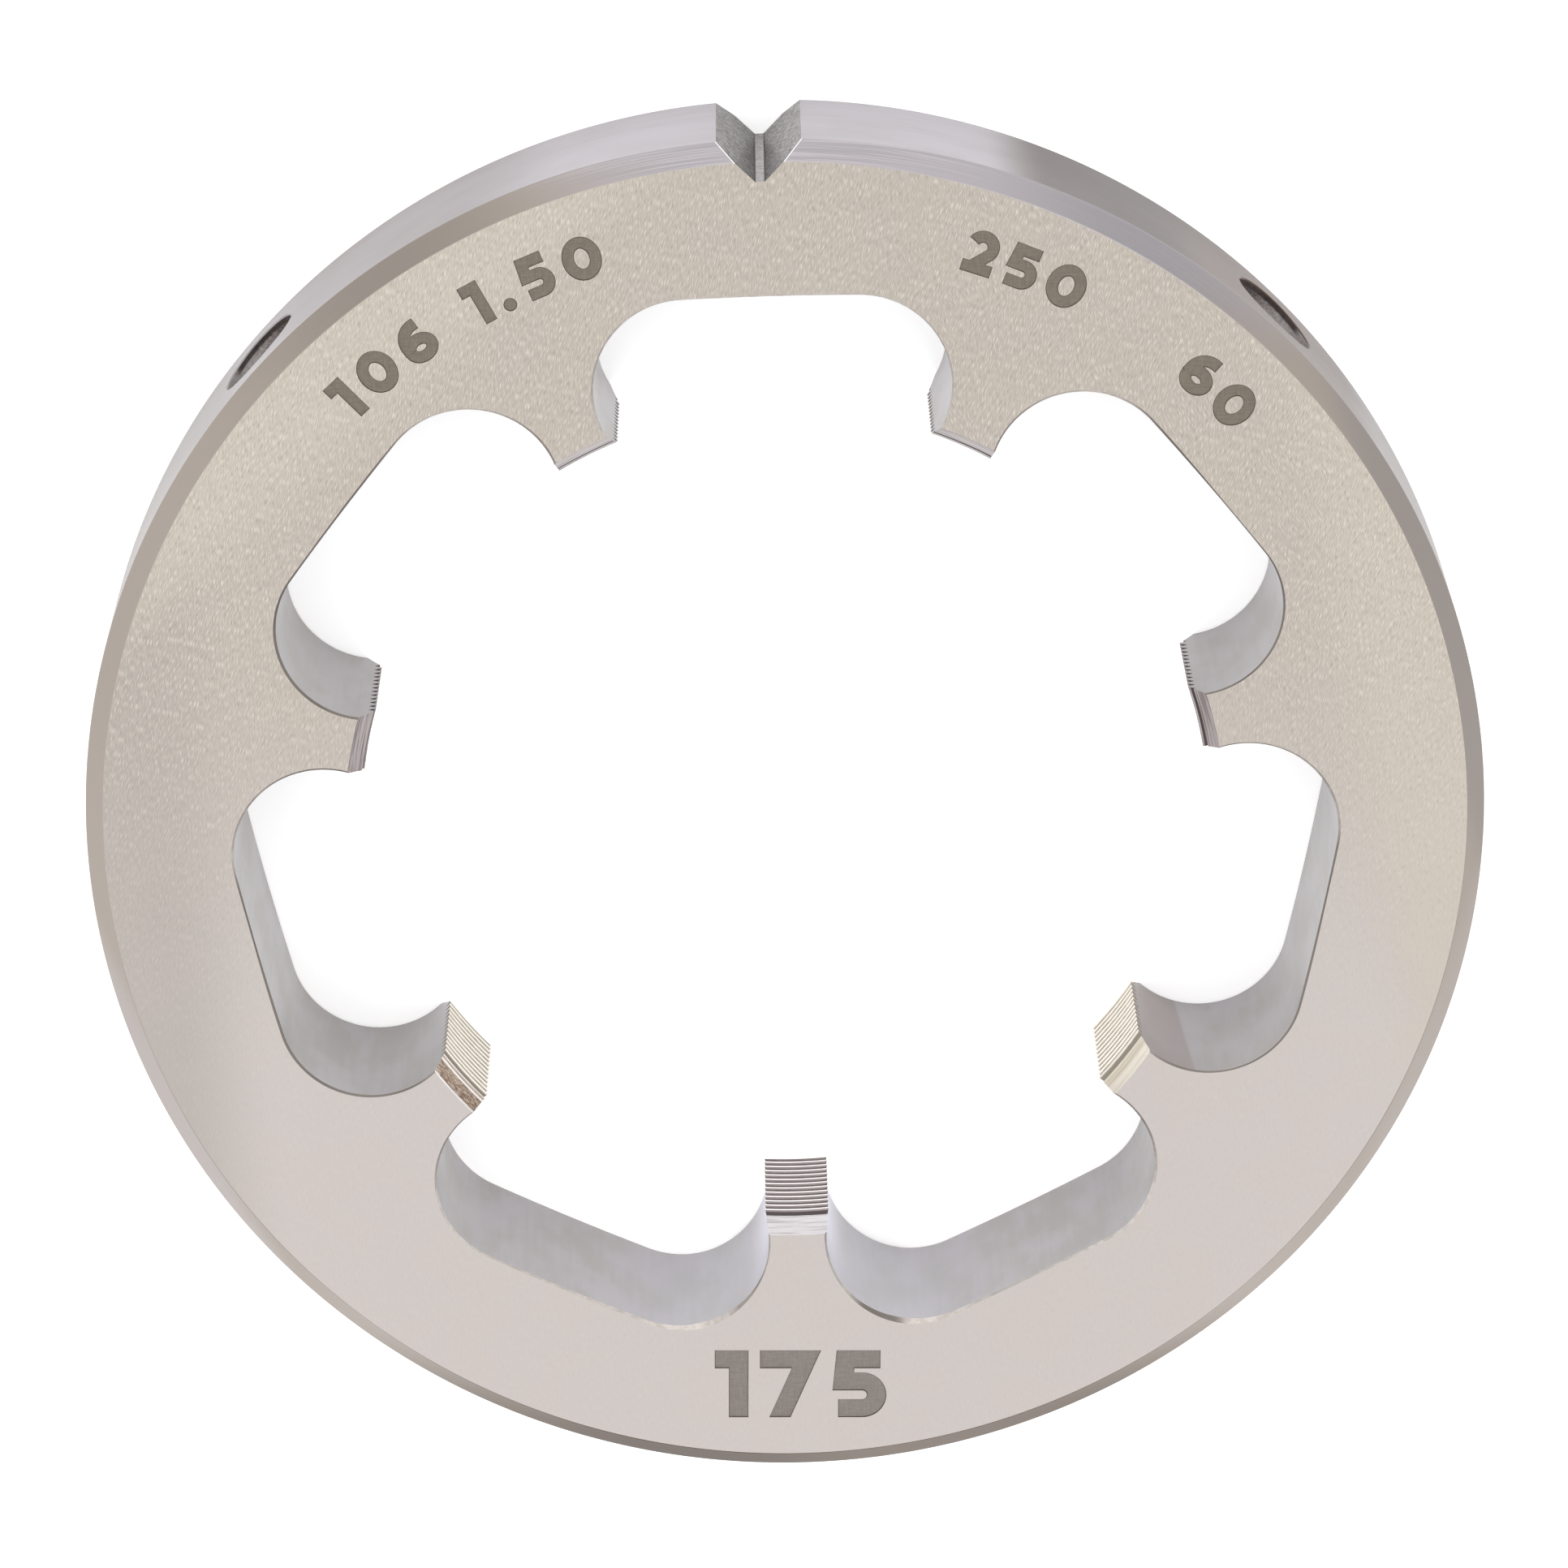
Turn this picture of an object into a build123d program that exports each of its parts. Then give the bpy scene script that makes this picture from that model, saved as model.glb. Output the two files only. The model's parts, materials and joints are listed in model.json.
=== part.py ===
from build123d import *
import math
import os

# Round threading die: one ground steel ring, lying on its back face.
# The axis is Z, the back face is at Z = 0 and the start face, where the work goes in, is on top.
# The adjusting notch in the rim points along +Y. All sizes are in millimetres and degrees.

# ring
outer_d = 175.0
thickness = 25.0
rim_chamfer = 2.3

# thread, right-hand, cut by the tips of the lands; its groove starts at the back face in direction thread_start
land_count = 7
bore_d = 106.0
pitch = 1.5
flank_angle = 30.0
thread_start = 41.5
lead_length = 3.5
lead_angle = 30.0

# flutes between the lands: two round lobes joined by a nearly straight floor
land_neck = 7.35
neck_from_tips = 2.75
lobe_d = 22.75
floor_crown_r = 400.0
flute_turn = -0.55
edge_break = 0.35

# adjusting notch and screw dimples in the rim
notch_depth = 4.8
notch_angle = 90.0
notch_root = 1.1
dimple_d = 12.1
dimple_depth = 4.8
dimple_point_angle = 118.0
dimple_turn = 46.2

# how far a cutter runs past the steel that it cuts
overrun = 1.0

outer_r = outer_d / 2
bore_r = bore_d / 2
lobe_r = lobe_d / 2
land_step = 360 / land_count
thread_depth = pitch * 5 / 16 / math.tan(math.radians(flank_angle))


def ring():
    # Section of the plain ring: both rims chamfered, both ends of the bore opened into lead-in cones.
    # It is turned round from +Y, so that the seam of each round face falls in the notch or in a flute.
    mouth_r = bore_r + lead_length * math.tan(math.radians(lead_angle))
    section = Polyline(
        (mouth_r, 0),
        (outer_r - rim_chamfer, 0),
        (outer_r, rim_chamfer),
        (outer_r, thickness - rim_chamfer),
        (outer_r - rim_chamfer, thickness),
        (mouth_r, thickness),
        (bore_r, thickness - lead_length),
        (bore_r, lead_length),
        close=True,
    )
    return revolve(Plane.YZ * make_face(section), axis=Axis.Z)


def flute_outline(grow=0.0):
    # One flute with its middle on +Y, widened all round by grow, and open towards the bore.
    half_step = math.radians(land_step / 2)
    along = bore_r + neck_from_tips
    across = land_neck / 2 + lobe_r
    lobe = Vector(
        along * math.sin(half_step) - across * math.cos(half_step),
        along * math.cos(half_step) + across * math.sin(half_step),
    )
    # The floor is an arc that touches both lobes from outside, about a centre far across the bore.
    floor_centre_y = lobe.Y - math.sqrt((floor_crown_r - lobe_r) ** 2 - lobe.X**2)
    floor_start = math.degrees(math.atan2(lobe.Y - floor_centre_y, lobe.X))
    radius = lobe_r + grow

    def on_lobe(angle):
        turn = math.radians(angle)
        return lobe + Vector(math.cos(turn), math.sin(turn)) * radius

    top = on_lobe(floor_start)
    side = on_lobe((floor_start - 90) / 2)
    inner = on_lobe(-90)
    crown = Vector(0, floor_centre_y + floor_crown_r + grow)

    def mirrored(point):
        return Vector(-point.X, point.Y)

    outline = [
        ThreePointArc(inner, side, top),
        ThreePointArc(top, crown, mirrored(top)),
        ThreePointArc(mirrored(top), mirrored(side), mirrored(inner)),
        Line(mirrored(inner), inner),
    ]
    return make_face(outline)


def flute_cutters():
    # Straight prisms through the ring, and a small 45 degree break round each flute at both faces.
    prism = extrude(Pos(0, 0, -overrun) * flute_outline(), thickness + 2 * overrun)
    flare = loft([flute_outline(), Pos(0, 0, 2 * edge_break) * flute_outline(2 * edge_break)], ruled=True)
    upper = Pos(0, 0, thickness - edge_break) * flare
    lower = mirror(Pos(0, 0, -edge_break) * flare, about=Plane.XY)
    turns = [Rot(0, 0, flute_turn + land_step * i) for i in range(land_count)]
    return [turn * cutter for turn in turns for cutter in (prism, upper, lower)]


def thread_comb():
    # A comb of thread grooves in the XZ plane, swept across one land. Its valleys stay inside the
    # bore, so that the land keeps a flat crest an eighth of a pitch to each side of every tip.
    slope = math.tan(math.radians(flank_angle))
    root_r = bore_r + thread_depth
    valley_r = bore_r - pitch / 8 / slope
    count = math.ceil(thickness / pitch) + 3
    points = [(valley_r, -1.5 * pitch)]
    for i in range(count):
        middle = (i - 1) * pitch
        points.append((root_r, middle - pitch / 16))
        points.append((root_r, middle + pitch / 16))
        points.append((valley_r, middle + pitch / 2))
    points.append((valley_r - overrun, points[-1][1]))
    points.append((valley_r - overrun, points[0][1]))
    comb = make_face(Polyline(*points, close=True))
    sweep = 2 * math.degrees(math.atan2(land_neck, bore_r))
    return Rot(0, 0, -sweep / 2) * revolve(Plane.XZ * comb, axis=Axis.Z, revolution_arc=sweep)


def thread_cutters():
    # Each land carries the next step of one helix, and its grooves lean by the helix angle.
    comb = thread_comb()
    helix_angle = math.degrees(math.atan(pitch / (math.pi * bore_d)))
    cutters = []
    for i in range(land_count):
        turn = 90 + flute_turn + land_step * (i + 0.5)
        rise = pitch * ((turn - thread_start) / 360 % 1)
        cutters.append(Pos(0, 0, rise) * Rot(0, 0, turn) * Rot(helix_angle, 0, 0) * comb)
    return cutters


def notch_cutter():
    # A V-shaped slot right through the thickness, with a narrow flat at its root.
    reach = notch_depth + overrun
    half_root = notch_root / 2
    half_mouth = half_root + reach * math.tan(math.radians(notch_angle / 2))
    root_y = outer_r - notch_depth
    outline = Polyline(
        (-half_root, root_y),
        (half_root, root_y),
        (half_mouth, root_y + reach),
        (-half_mouth, root_y + reach),
        close=True,
    )
    return extrude(Pos(0, 0, -overrun) * make_face(outline), thickness + 2 * overrun)


def dimple_cutters():
    # Round blind holes with drill-point bottoms, half way up the rim, on each side of the notch.
    dimple_r = dimple_d / 2
    point_depth = dimple_r / math.tan(math.radians(dimple_point_angle / 2))
    floor_r = outer_r - dimple_depth
    section = Polyline(
        (floor_r - point_depth, 0),
        (floor_r, dimple_r),
        (outer_r + overrun, dimple_r),
        (outer_r + overrun, 0),
        close=True,
    )
    drill = Pos(0, 0, thickness / 2) * revolve(make_face(section), axis=Axis.X)
    return [Rot(0, 0, 90 + side * dimple_turn) * drill for side in (1, -1)]


die = ring() - flute_cutters() - thread_cutters() - notch_cutter() - dimple_cutters()

os.makedirs("parts", exist_ok=True)
export_step(die.solid(), "parts/threading_die.step")
print("flutes", land_count, "thread depth", round(thread_depth, 3), "volume cm3", round(die.volume / 1000, 1))
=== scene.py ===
import json
import math

import bmesh
import bpy
from mathutils import Matrix, Vector


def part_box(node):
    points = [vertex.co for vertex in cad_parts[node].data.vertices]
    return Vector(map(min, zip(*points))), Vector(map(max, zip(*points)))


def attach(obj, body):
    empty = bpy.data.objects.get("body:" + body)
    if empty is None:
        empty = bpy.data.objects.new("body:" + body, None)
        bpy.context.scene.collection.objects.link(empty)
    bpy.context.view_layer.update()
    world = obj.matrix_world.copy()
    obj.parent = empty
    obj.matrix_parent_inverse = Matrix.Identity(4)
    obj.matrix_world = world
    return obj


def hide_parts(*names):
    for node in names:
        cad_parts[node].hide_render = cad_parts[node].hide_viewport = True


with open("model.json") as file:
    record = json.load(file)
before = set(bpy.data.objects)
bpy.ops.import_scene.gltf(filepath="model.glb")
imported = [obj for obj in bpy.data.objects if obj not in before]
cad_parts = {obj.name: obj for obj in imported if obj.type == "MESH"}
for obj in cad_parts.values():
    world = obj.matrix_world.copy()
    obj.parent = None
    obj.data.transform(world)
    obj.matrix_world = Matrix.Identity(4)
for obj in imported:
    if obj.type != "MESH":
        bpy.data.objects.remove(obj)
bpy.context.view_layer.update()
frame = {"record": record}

print("die frame loaded")

mm = 0.001
degree = math.pi / 180

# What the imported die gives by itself: its thickness, its rim, and the places of its notch and dimples.
dieLow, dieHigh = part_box("threading_die")
mounts = {mount["name"]: mount for mount in frame["record"]["mounts"]}
thick = dieHigh.z - dieLow.z
rimRadius = mounts["rim"]["dims"]["r_mm"] * mm
rimChamfer = (thick - mounts["rim"]["dims"]["length_mm"] * mm) / 2
tipRadius = 53.0 * mm    # across the tooth tips
leadLength = 3.5 * mm    # of the cone at each end of the bore
rootY = mounts["notch"]["pos_m"][1]
halfRoot = 0.55 * mm     # of the notch's flat root
pastSteel = 1.0 * mm     # how far a cutter reaches past the steel
tiny = 0.002 * mm
levelFace = 0.99         # the normal of a level face points up or down by more than this
uprightFace = 0.1        # and that of an upright face by less than this
smoothAngle = 20 * degree


# Picking and cutting

def clearPick():
    if bpy.context.object and bpy.context.object.mode != "OBJECT":
        bpy.ops.object.mode_set(mode="OBJECT")
    bpy.ops.object.select_all(action="DESELECT")


def nameNew(name):
    # the new piece's place goes into its mesh
    piece = bpy.context.object
    piece.name = piece.data.name = name
    bpy.ops.object.transform_apply(location=True, rotation=True, scale=True)
    return piece


def choose(piece, kind, test):
    # edit mode, with only the verts, edges or faces that pass the test picked
    bpy.ops.object.mode_set(mode="EDIT")
    bpy.ops.mesh.select_mode(type=kind)
    bpy.ops.mesh.select_all(action="DESELECT")
    shape = bmesh.from_edit_mesh(piece.data)
    for item in {"VERT": shape.verts, "EDGE": shape.edges, "FACE": shape.faces}[kind]:
        if test(item):
            item.select_set(True)
    shape.select_flush_mode()
    bmesh.update_edit_mesh(piece.data)


def atHeight(item, *heights):
    return any(all(abs(vert.co.z - z) < tiny for vert in item.verts) for z in heights)


def slotOf(piece, finish):
    return piece.data.materials.find(finish)


def borders(edge, slot):
    # true on the edges where one finish meets another
    found = {face.material_index for face in edge.link_faces}
    return slot in found and len(found) > 1


def breakEdges(piece, size, finish):
    # a small flat on the picked edges
    bpy.ops.mesh.bevel(
        offset=size, offset_type="OFFSET", segments=1, affect="EDGES", clamp_overlap=False,
        miter_outer="SHARP", material=slotOf(piece, finish),
    )
    bpy.ops.object.mode_set(mode="OBJECT")


def cleanUp(piece):
    bpy.ops.object.mode_set(mode="EDIT")
    bpy.ops.mesh.select_all(action="SELECT")
    bpy.ops.mesh.remove_doubles(threshold=tiny / 2)
    bpy.ops.mesh.normals_make_consistent(inside=False)
    bpy.ops.object.mode_set(mode="OBJECT")


def cut(piece, cutter, overlapping=False):
    # the cutter leaves its own finish on what it cuts; its own parts may run into each other
    clearPick()
    bpy.context.view_layer.objects.active = piece
    piece.select_set(True)
    difference = piece.modifiers.new("cut", "BOOLEAN")
    difference.operation = "DIFFERENCE"
    difference.object = cutter
    difference.solver = "EXACT"
    difference.material_mode = "TRANSFER"
    difference.use_self = overlapping
    bpy.ops.object.modifier_apply(modifier="cut")
    bpy.data.objects.remove(cutter)


def joined(pieces):
    clearPick()
    for piece in pieces:
        piece.select_set(True)
    bpy.context.view_layer.objects.active = pieces[0]
    bpy.ops.object.join()
    return pieces[0]


def turnedCopies(piece, turns):
    # one copy for each turn about the die's axis, joined in one cutter
    copies = []
    for turn in turns:
        copy = piece.copy()
        copy.data = piece.data.copy()
        copy.data.transform(Matrix.Rotation(turn, 4, "Z"))
        bpy.context.scene.collection.objects.link(copy)
        copies.append(copy)
    bpy.data.objects.remove(piece)
    return joined(copies)


def drawPath(name, start, moves):
    # one vertex, pushed along straight moves and spun round centres, positive turns counter-clockwise
    clearPick()
    bpy.ops.mesh.primitive_plane_add(size=mm, location=(*start, 0))
    path = nameNew(name)
    bpy.ops.object.mode_set(mode="EDIT")
    bpy.ops.mesh.select_mode(type="VERT")
    bpy.ops.mesh.select_all(action="SELECT")
    bpy.ops.mesh.merge(type="CENTER")
    for move in moves:
        if move[0] == "line":
            bpy.ops.mesh.extrude_vertices_move(TRANSFORM_OT_translate={"value": (move[1], move[2], 0)})
        else:
            centre, turn, steps = move[1:]
            bpy.ops.mesh.spin(steps=steps, angle=-turn, center=(*centre, 0), axis=(0, 0, 1))
    bpy.ops.object.mode_set(mode="OBJECT")
    return path


# Finishes

diagonal = math.sqrt(0.5)

# Places on the lands and beside them. A pair says where a change starts and where it is full.
landZones = {
    "sideX": (12 * mm, 20 * mm),        # the two lands beside the bottom one, to each side
    "sideY": (-20 * mm, -26 * mm),
    "cutLineX": (49.5 * mm, 48.9 * mm),     # where a second cut on the right flute wall ends
    "cutLineLean": 0.05,
    "cutFrom": 50.9 * degree,       # it begins at a line through the axis, on the side that faces this way
    "cutFade": (0.0, 1.0 * mm),
    "cutY": (-24 * mm, -27 * mm),
}


class Value:
    # wraps a socket, so that shader maths reads as plain sums
    def __init__(self, finish, socket):
        self.finish = finish
        self.socket = socket

    def maths(self, operation, first, second):
        return self.finish.node("ShaderNodeMath", {"operation": operation}, {0: first, 1: second})

    def __add__(self, other):
        return self.maths("ADD", self, other)

    def __radd__(self, other):
        return self.maths("ADD", other, self)

    def __sub__(self, other):
        return self.maths("SUBTRACT", self, other)

    def __rsub__(self, other):
        return self.maths("SUBTRACT", other, self)

    def __mul__(self, other):
        return self.maths("MULTIPLY", self, other)

    def __rmul__(self, other):
        return self.maths("MULTIPLY", other, self)


class Finish:
    # one steel finish: its node tree, and the few kinds of node that these finishes share
    def __init__(self, name):
        self.material = bpy.data.materials.new(name)
        self.material.use_nodes = True
        self.tree = self.material.node_tree
        self.tree.nodes.clear()
        self.shader = self.tree.nodes.new("ShaderNodeBsdfPrincipled")
        self.shader.inputs["Metallic"].default_value = 1.0
        output = self.tree.nodes.new("ShaderNodeOutputMaterial")
        self.tree.links.new(self.shader.outputs[0], output.inputs[0])
        self.place = self.node("ShaderNodeTexCoord", output="Object")

    def node(self, kind, settings=None, inputs=None, output=0):
        made = self.tree.nodes.new(kind)
        for key, value in (settings or {}).items():
            setattr(made, key, value)
        for key, value in (inputs or {}).items():
            self.feed(made.inputs[key], value)
        return Value(self, made.outputs[output])

    def feed(self, socket, value):
        if isinstance(value, Value):
            self.tree.links.new(value.socket, socket)
        elif isinstance(value, tuple) and len(value) == 3 and socket.type == "RGBA":
            socket.default_value = (*value, 1.0)
        else:
            socket.default_value = value

    def axis(self, name):
        return self.node("ShaderNodeSeparateXYZ", inputs={0: self.place}, output=name)

    def fromAxis(self):
        # distance from the die's axis
        flatten = {"operation": "MULTIPLY"}
        flat = self.node("ShaderNodeVectorMath", flatten, {0: self.place, 1: (1.0, 1.0, 0.0)})
        return self.node("ShaderNodeVectorMath", {"operation": "LENGTH"}, {0: flat}, output=1)

    def magnitude(self, value):
        return self.node("ShaderNodeMath", {"operation": "ABSOLUTE"}, {0: value})

    def fromNotch(self):
        # distance from the notch's walls
        return (self.magnitude(self.axis("X")) - self.axis("Y") + (rootY - halfRoot)) * diagonal

    def towards(self, direction):
        # how far out a point lies in one direction from the die's axis
        return self.axis("X") * math.cos(direction) + self.axis("Y") * math.sin(direction)

    def facing(self, direction, low, high, strength):
        # rises from 0 to its strength on the side of the die that lies in one direction
        return self.ramp(self.towards(direction), low, high, 0.0, strength)

    def sideLands(self):
        # 1 on the two lands beside the bottom one, 0 on the others
        beside = self.ramp(self.magnitude(self.axis("X")), *landZones["sideX"])
        return beside * self.ramp(self.axis("Y"), *landZones["sideY"])

    def secondCut(self):
        # 1 on the flute wall just above the lower right land, out to a nearly upright line
        line = self.ramp(self.axis("X") - self.axis("Z") * landZones["cutLineLean"], *landZones["cutLineX"])
        above = self.ramp(self.towards(landZones["cutFrom"]), *landZones["cutFade"])
        return line * above * self.ramp(self.axis("Y"), *landZones["cutY"])

    def band(self, value, middle, half):
        # 1 where a value is near the middle, 0 further off than half
        return self.ramp(self.magnitude(value - middle), half * 0.4, half, 1.0, 0.0)

    def stretched(self, cell, turn=0.0, shift=(0.0, 0.0, 0.0)):
        # places measured in cells of that size, after a turn about the die's axis
        return self.node(
            "ShaderNodeMapping", {"vector_type": "TEXTURE"},
            {"Vector": self.place, "Location": shift, "Rotation": (0.0, 0.0, turn), "Scale": cell},
        )

    def grainAt(self, place, detail, rough):
        return self.node(
            "ShaderNodeTexNoise", {"noise_dimensions": "3D"},
            {"Vector": place, "Scale": 1.0, "Detail": detail, "Roughness": rough},
        )

    def noise(self, cell, turn=0.0, detail=2.0, rough=0.5, shift=(0.0, 0.0, 0.0)):
        return self.grainAt(self.stretched(cell, turn, shift), detail, rough)

    def ramp(self, value, low, high, start=0.0, end=1.0):
        return self.node(
            "ShaderNodeMapRange", {"interpolation_type": "SMOOTHSTEP", "clamp": True},
            {"Value": value, "From Min": low, "From Max": high, "To Min": start, "To Max": end},
        )

    def mix(self, first, second, share):
        return self.node(
            "ShaderNodeMix", {"data_type": "RGBA", "clamp_factor": True},
            {0: share, 6: first, 7: second}, output=2,
        )

    def finishAs(self, colour, roughness, height=None, depth=0.0):
        self.feed(self.shader.inputs["Base Color"], colour)
        self.feed(self.shader.inputs["Roughness"], roughness)
        if height is not None:
            bump = self.node("ShaderNodeBump", inputs={"Height": height, "Distance": depth})
            self.feed(self.shader.inputs["Normal"], bump)
        return self.material


def linear(shade):
    # one screen number, 0 to 255, as the shader takes it
    return ((shade / 255 + 0.055) / 1.055) ** 2.4 if shade > 10 else shade / 255 / 12.92


def screen(red, green, blue):
    return linear(red), linear(green), linear(blue)


# Colours as a screen shows them. A pair is the two ends of a mix: light and dark, left and right, or
# the bottom land and the side lands. What mirrors the bright floor is kept darker than it looks.
colours = {
    # the top and low face colours differ by a painted reflection tint, warmer at the top
    "faceTop": (screen(186, 178, 168), screen(183, 175, 167)),
    # painted light at the upper left and the right of the face
    "faceHighlight": screen(196, 188, 176),
    "faceLow": (screen(197, 190, 187), screen(196, 188, 184)),
    # painted shade on the left side of the face
    "faceShadeLeft": screen(171, 164, 158),
    "faceStreaks": (screen(228, 221, 208), screen(154, 146, 135)),
    "rim": (screen(150, 145, 151), screen(143, 138, 142)),
    # painted shade at both sides of the rim
    "rimSideShade": (screen(124, 118, 117), screen(112, 105, 104)),
    "rimStained": (screen(80, 62, 54), screen(54, 36, 30)),
    # the chamfer colours by side of the ring are painted light and shade
    "chamferTop": (screen(156, 151, 154), screen(140, 136, 139)),
    "chamferSide": (screen(143, 135, 128), screen(135, 127, 120)),
    "chamferLeft": screen(143, 135, 128),
    "chamferRight": screen(128, 122, 118),
    "chamferLow": screen(155, 148, 146),
    "chamferFoot": (screen(86, 74, 64), screen(67, 54, 45)),
    # painted highlight along the notch's edges
    "chamferEdgeHighlight": screen(235, 235, 238),
    "wall": (screen(156, 152, 155), screen(149, 145, 143)),
    # painted highlight on the flute walls beside the lowest lands
    "wallByLandHighlight": screen(214, 214, 224),
    "wallSecondCut": screen(140, 130, 128),
    "edge": (screen(182, 176, 171), screen(166, 159, 153)),
    # painted shade on the flutes' edge breaks
    "edgeSideShade": screen(112, 106, 101),
    # light crests and darker grooves are painted light and shade on one steel
    "crest": (screen(226, 220, 220), screen(214, 208, 197)),
    "groove": (screen(127, 119, 118), screen(192, 186, 174)),
    "grooveDeepShade": (screen(70, 64, 63), screen(112, 106, 97)),
    "leadIn": (screen(243, 241, 243), screen(215, 210, 212)),
    "leadInUpper": (screen(142, 134, 134), screen(96, 87, 86)),
    "leadInCream": (screen(226, 219, 206), screen(196, 187, 170)),
    "leadInStain": (screen(192, 177, 162), screen(124, 102, 87)),
    # the dark end of the notch mix also carries painted shade
    "notch": (screen(162, 158, 158), screen(74, 70, 69)),
    "notchRoot": screen(160, 156, 156),
    "dimple": (screen(196, 190, 188), screen(112, 104, 102)),
    # painted shade inside the dimples
    "dimpleShade": screen(58, 52, 50),
    "dimpleSpeck": screen(214, 200, 180),
    "engraved": (screen(122, 115, 105), screen(111, 104, 95)),
    "engravedLow": (screen(133, 126, 121), screen(123, 117, 112)),
    "engravedEdge": screen(68, 62, 56),
}


# In the marks below, three lengths are the cell of a pattern, with 1.0 for no change along that axis.
# A direction with three numbers says where a change starts, where it is full and how strong it is.
# The place of a band is its middle and half its width.

faceMarks = {
    "patch": (7 * mm, 7 * mm, 7 * mm),
    "patchRange": (0.36, 0.64),
    # painted reflection tint: where the low face colour gives way to the warmer top one
    "reflectionTintY": (-35 * mm, 30 * mm),
    # painted shade on the left side of the face
    "shadeLeftSide": (181 * degree, 65 * mm, 79 * mm, 0.7),
    # painted light at the upper left and the right of the face
    "brightLeft": (130 * degree, 69 * mm, 78 * mm, 1.0),
    "brightRight": (8 * degree, 66 * mm, 78 * mm, 1.0),
    "brightShare": 0.7,
    "lean": -15 * degree,
    "lightStreak": (0.10 * mm, 0.95 * mm, 1.0),
    "lightRange": (0.44, 0.86),
    "lightShare": 0.66,
    "darkStreak": (0.11 * mm, 0.85 * mm, 1.0),
    "darkShift": (9 * mm, 4 * mm, 0),
    "darkRange": (0.46, 0.80),
    "darkShare": 0.52,
    "clearY": (-35 * mm, 35 * mm, 0.16, 1.0),       # the streaks fade towards the bottom
    "cluster": (1.8 * mm, 3.0 * mm, 4 * mm),
    "clusterRange": (0.42, 0.66, 0.85, 1.0),
    "otherPatch": (6 * mm, 6 * mm, 6 * mm),         # patches of streaks that lean the other way
    "otherShift": (50 * mm, 0, 0),
    "otherRange": (0.53, 0.60),
    "otherX": (8 * mm, 26 * mm),
    "roughness": 0.34,
    "patchRoughness": 0.02,
    "depth": 0.004 * mm,
}


def groundFace():
    # surface-ground faces: short bright and dark streaks over soft patches, with a painted reflection tint
    # that is warmer
    #     # towards the notch, and painted light at the upper left and the right with painted shade on the
    #     left between them
    marks = faceMarks
    finish = Finish("groundFace")
    across = finish.axis("Y")
    patch = finish.ramp(finish.noise(marks["patch"], detail=3.0), *marks["patchRange"])
    top = finish.mix(*colours["faceTop"], patch)
    low = finish.mix(*colours["faceLow"], patch)
    # painted reflection tint, warmer towards the notch
    base = finish.mix(low, top, finish.ramp(across, *marks["reflectionTintY"]))
    # painted shade on the left side of the face
    base = finish.mix(base, colours["faceShadeLeft"], finish.facing(*marks["shadeLeftSide"]))
    # painted light at the upper left and the right of the face
    highlighted = finish.facing(*marks["brightLeft"]) + finish.facing(*marks["brightRight"])
    base = finish.mix(base, colours["faceHighlight"], highlighted * marks["brightShare"])
    light, dark = colours["faceStreaks"]
    clear = finish.ramp(across, *marks["clearY"])
    cluster = finish.ramp(finish.noise(marks["cluster"]), *marks["clusterRange"])
    bright = finish.noise(marks["lightStreak"], marks["lean"], detail=0.0)
    otherWay = finish.noise(marks["lightStreak"], -marks["lean"], detail=0.0)
    patches = finish.noise(marks["otherPatch"], detail=1.0, shift=marks["otherShift"])
    patches = finish.ramp(patches, *marks["otherRange"])
    bright = bright + (otherWay - bright) * patches * finish.ramp(finish.axis("X"), *marks["otherX"])
    dull = finish.noise(marks["darkStreak"], marks["lean"], detail=0.0, shift=marks["darkShift"])
    streak = finish.ramp(bright, *marks["lightRange"]) * cluster * clear
    hollow = finish.ramp(dull, *marks["darkRange"]) * clear
    colour = finish.mix(base, dark, hollow * marks["darkShare"])
    colour = finish.mix(colour, light, streak * marks["lightShare"])
    roughness = marks["roughness"] + patch * marks["patchRoughness"]
    return finish.finishAs(colour, roughness, streak - hollow * 0.5, marks["depth"])


rimMarks = {
    "lines": (14 * mm, 14 * mm, 0.35 * mm),
    "cloud": (14 * mm, 14 * mm, 8 * mm),
    "cloudRange": (0.38, 0.62),
    # painted shade at both sides of the rim
    "sideX": (0.68 * rimRadius, 0.80 * rimRadius),
    "leftToRight": (-mm, mm),
    "stainRight": (51 * degree, 0.935 * rimRadius, 0.965 * rimRadius, 1.0),
    "stainLeft": (122 * degree, 0.96 * rimRadius, 0.995 * rimRadius, 0.45),
    "darkest": (61 * degree, 0.985 * rimRadius, 0.998 * rimRadius, 1.0),
    "roughness": 0.30,
    "cloudRoughness": 0.05,
    "depth": 0.002 * mm,
}


def groundRim():
    # outer cylinder, ground round and round: hardly any lines, painted shade at both sides, and stained
    # brown
    #     # towards the right-hand dimple
    marks = rimMarks
    finish = Finish("groundRim")
    lines = finish.noise(marks["lines"])
    cloud = finish.noise(marks["cloud"])
    clean = finish.mix(*colours["rim"], finish.ramp(lines * 0.5 + cloud * 0.5, *marks["cloudRange"]))
    # painted shade at both sides of the rim
    side = finish.ramp(finish.magnitude(finish.axis("X")), *marks["sideX"])
    sideShadeColour = finish.mix(*colours["rimSideShade"], finish.ramp(finish.axis("X"), *marks["leftToRight"]))
    clean = finish.mix(clean, sideShadeColour, side)
    stained = finish.mix(*colours["rimStained"], finish.facing(*marks["darkest"]))
    stain = finish.facing(*marks["stainRight"]) + finish.facing(*marks["stainLeft"])
    colour = finish.mix(clean, stained, stain)
    roughness = marks["roughness"] + cloud * marks["cloudRoughness"]
    return finish.finishAs(colour, roughness, lines, marks["depth"])


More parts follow.
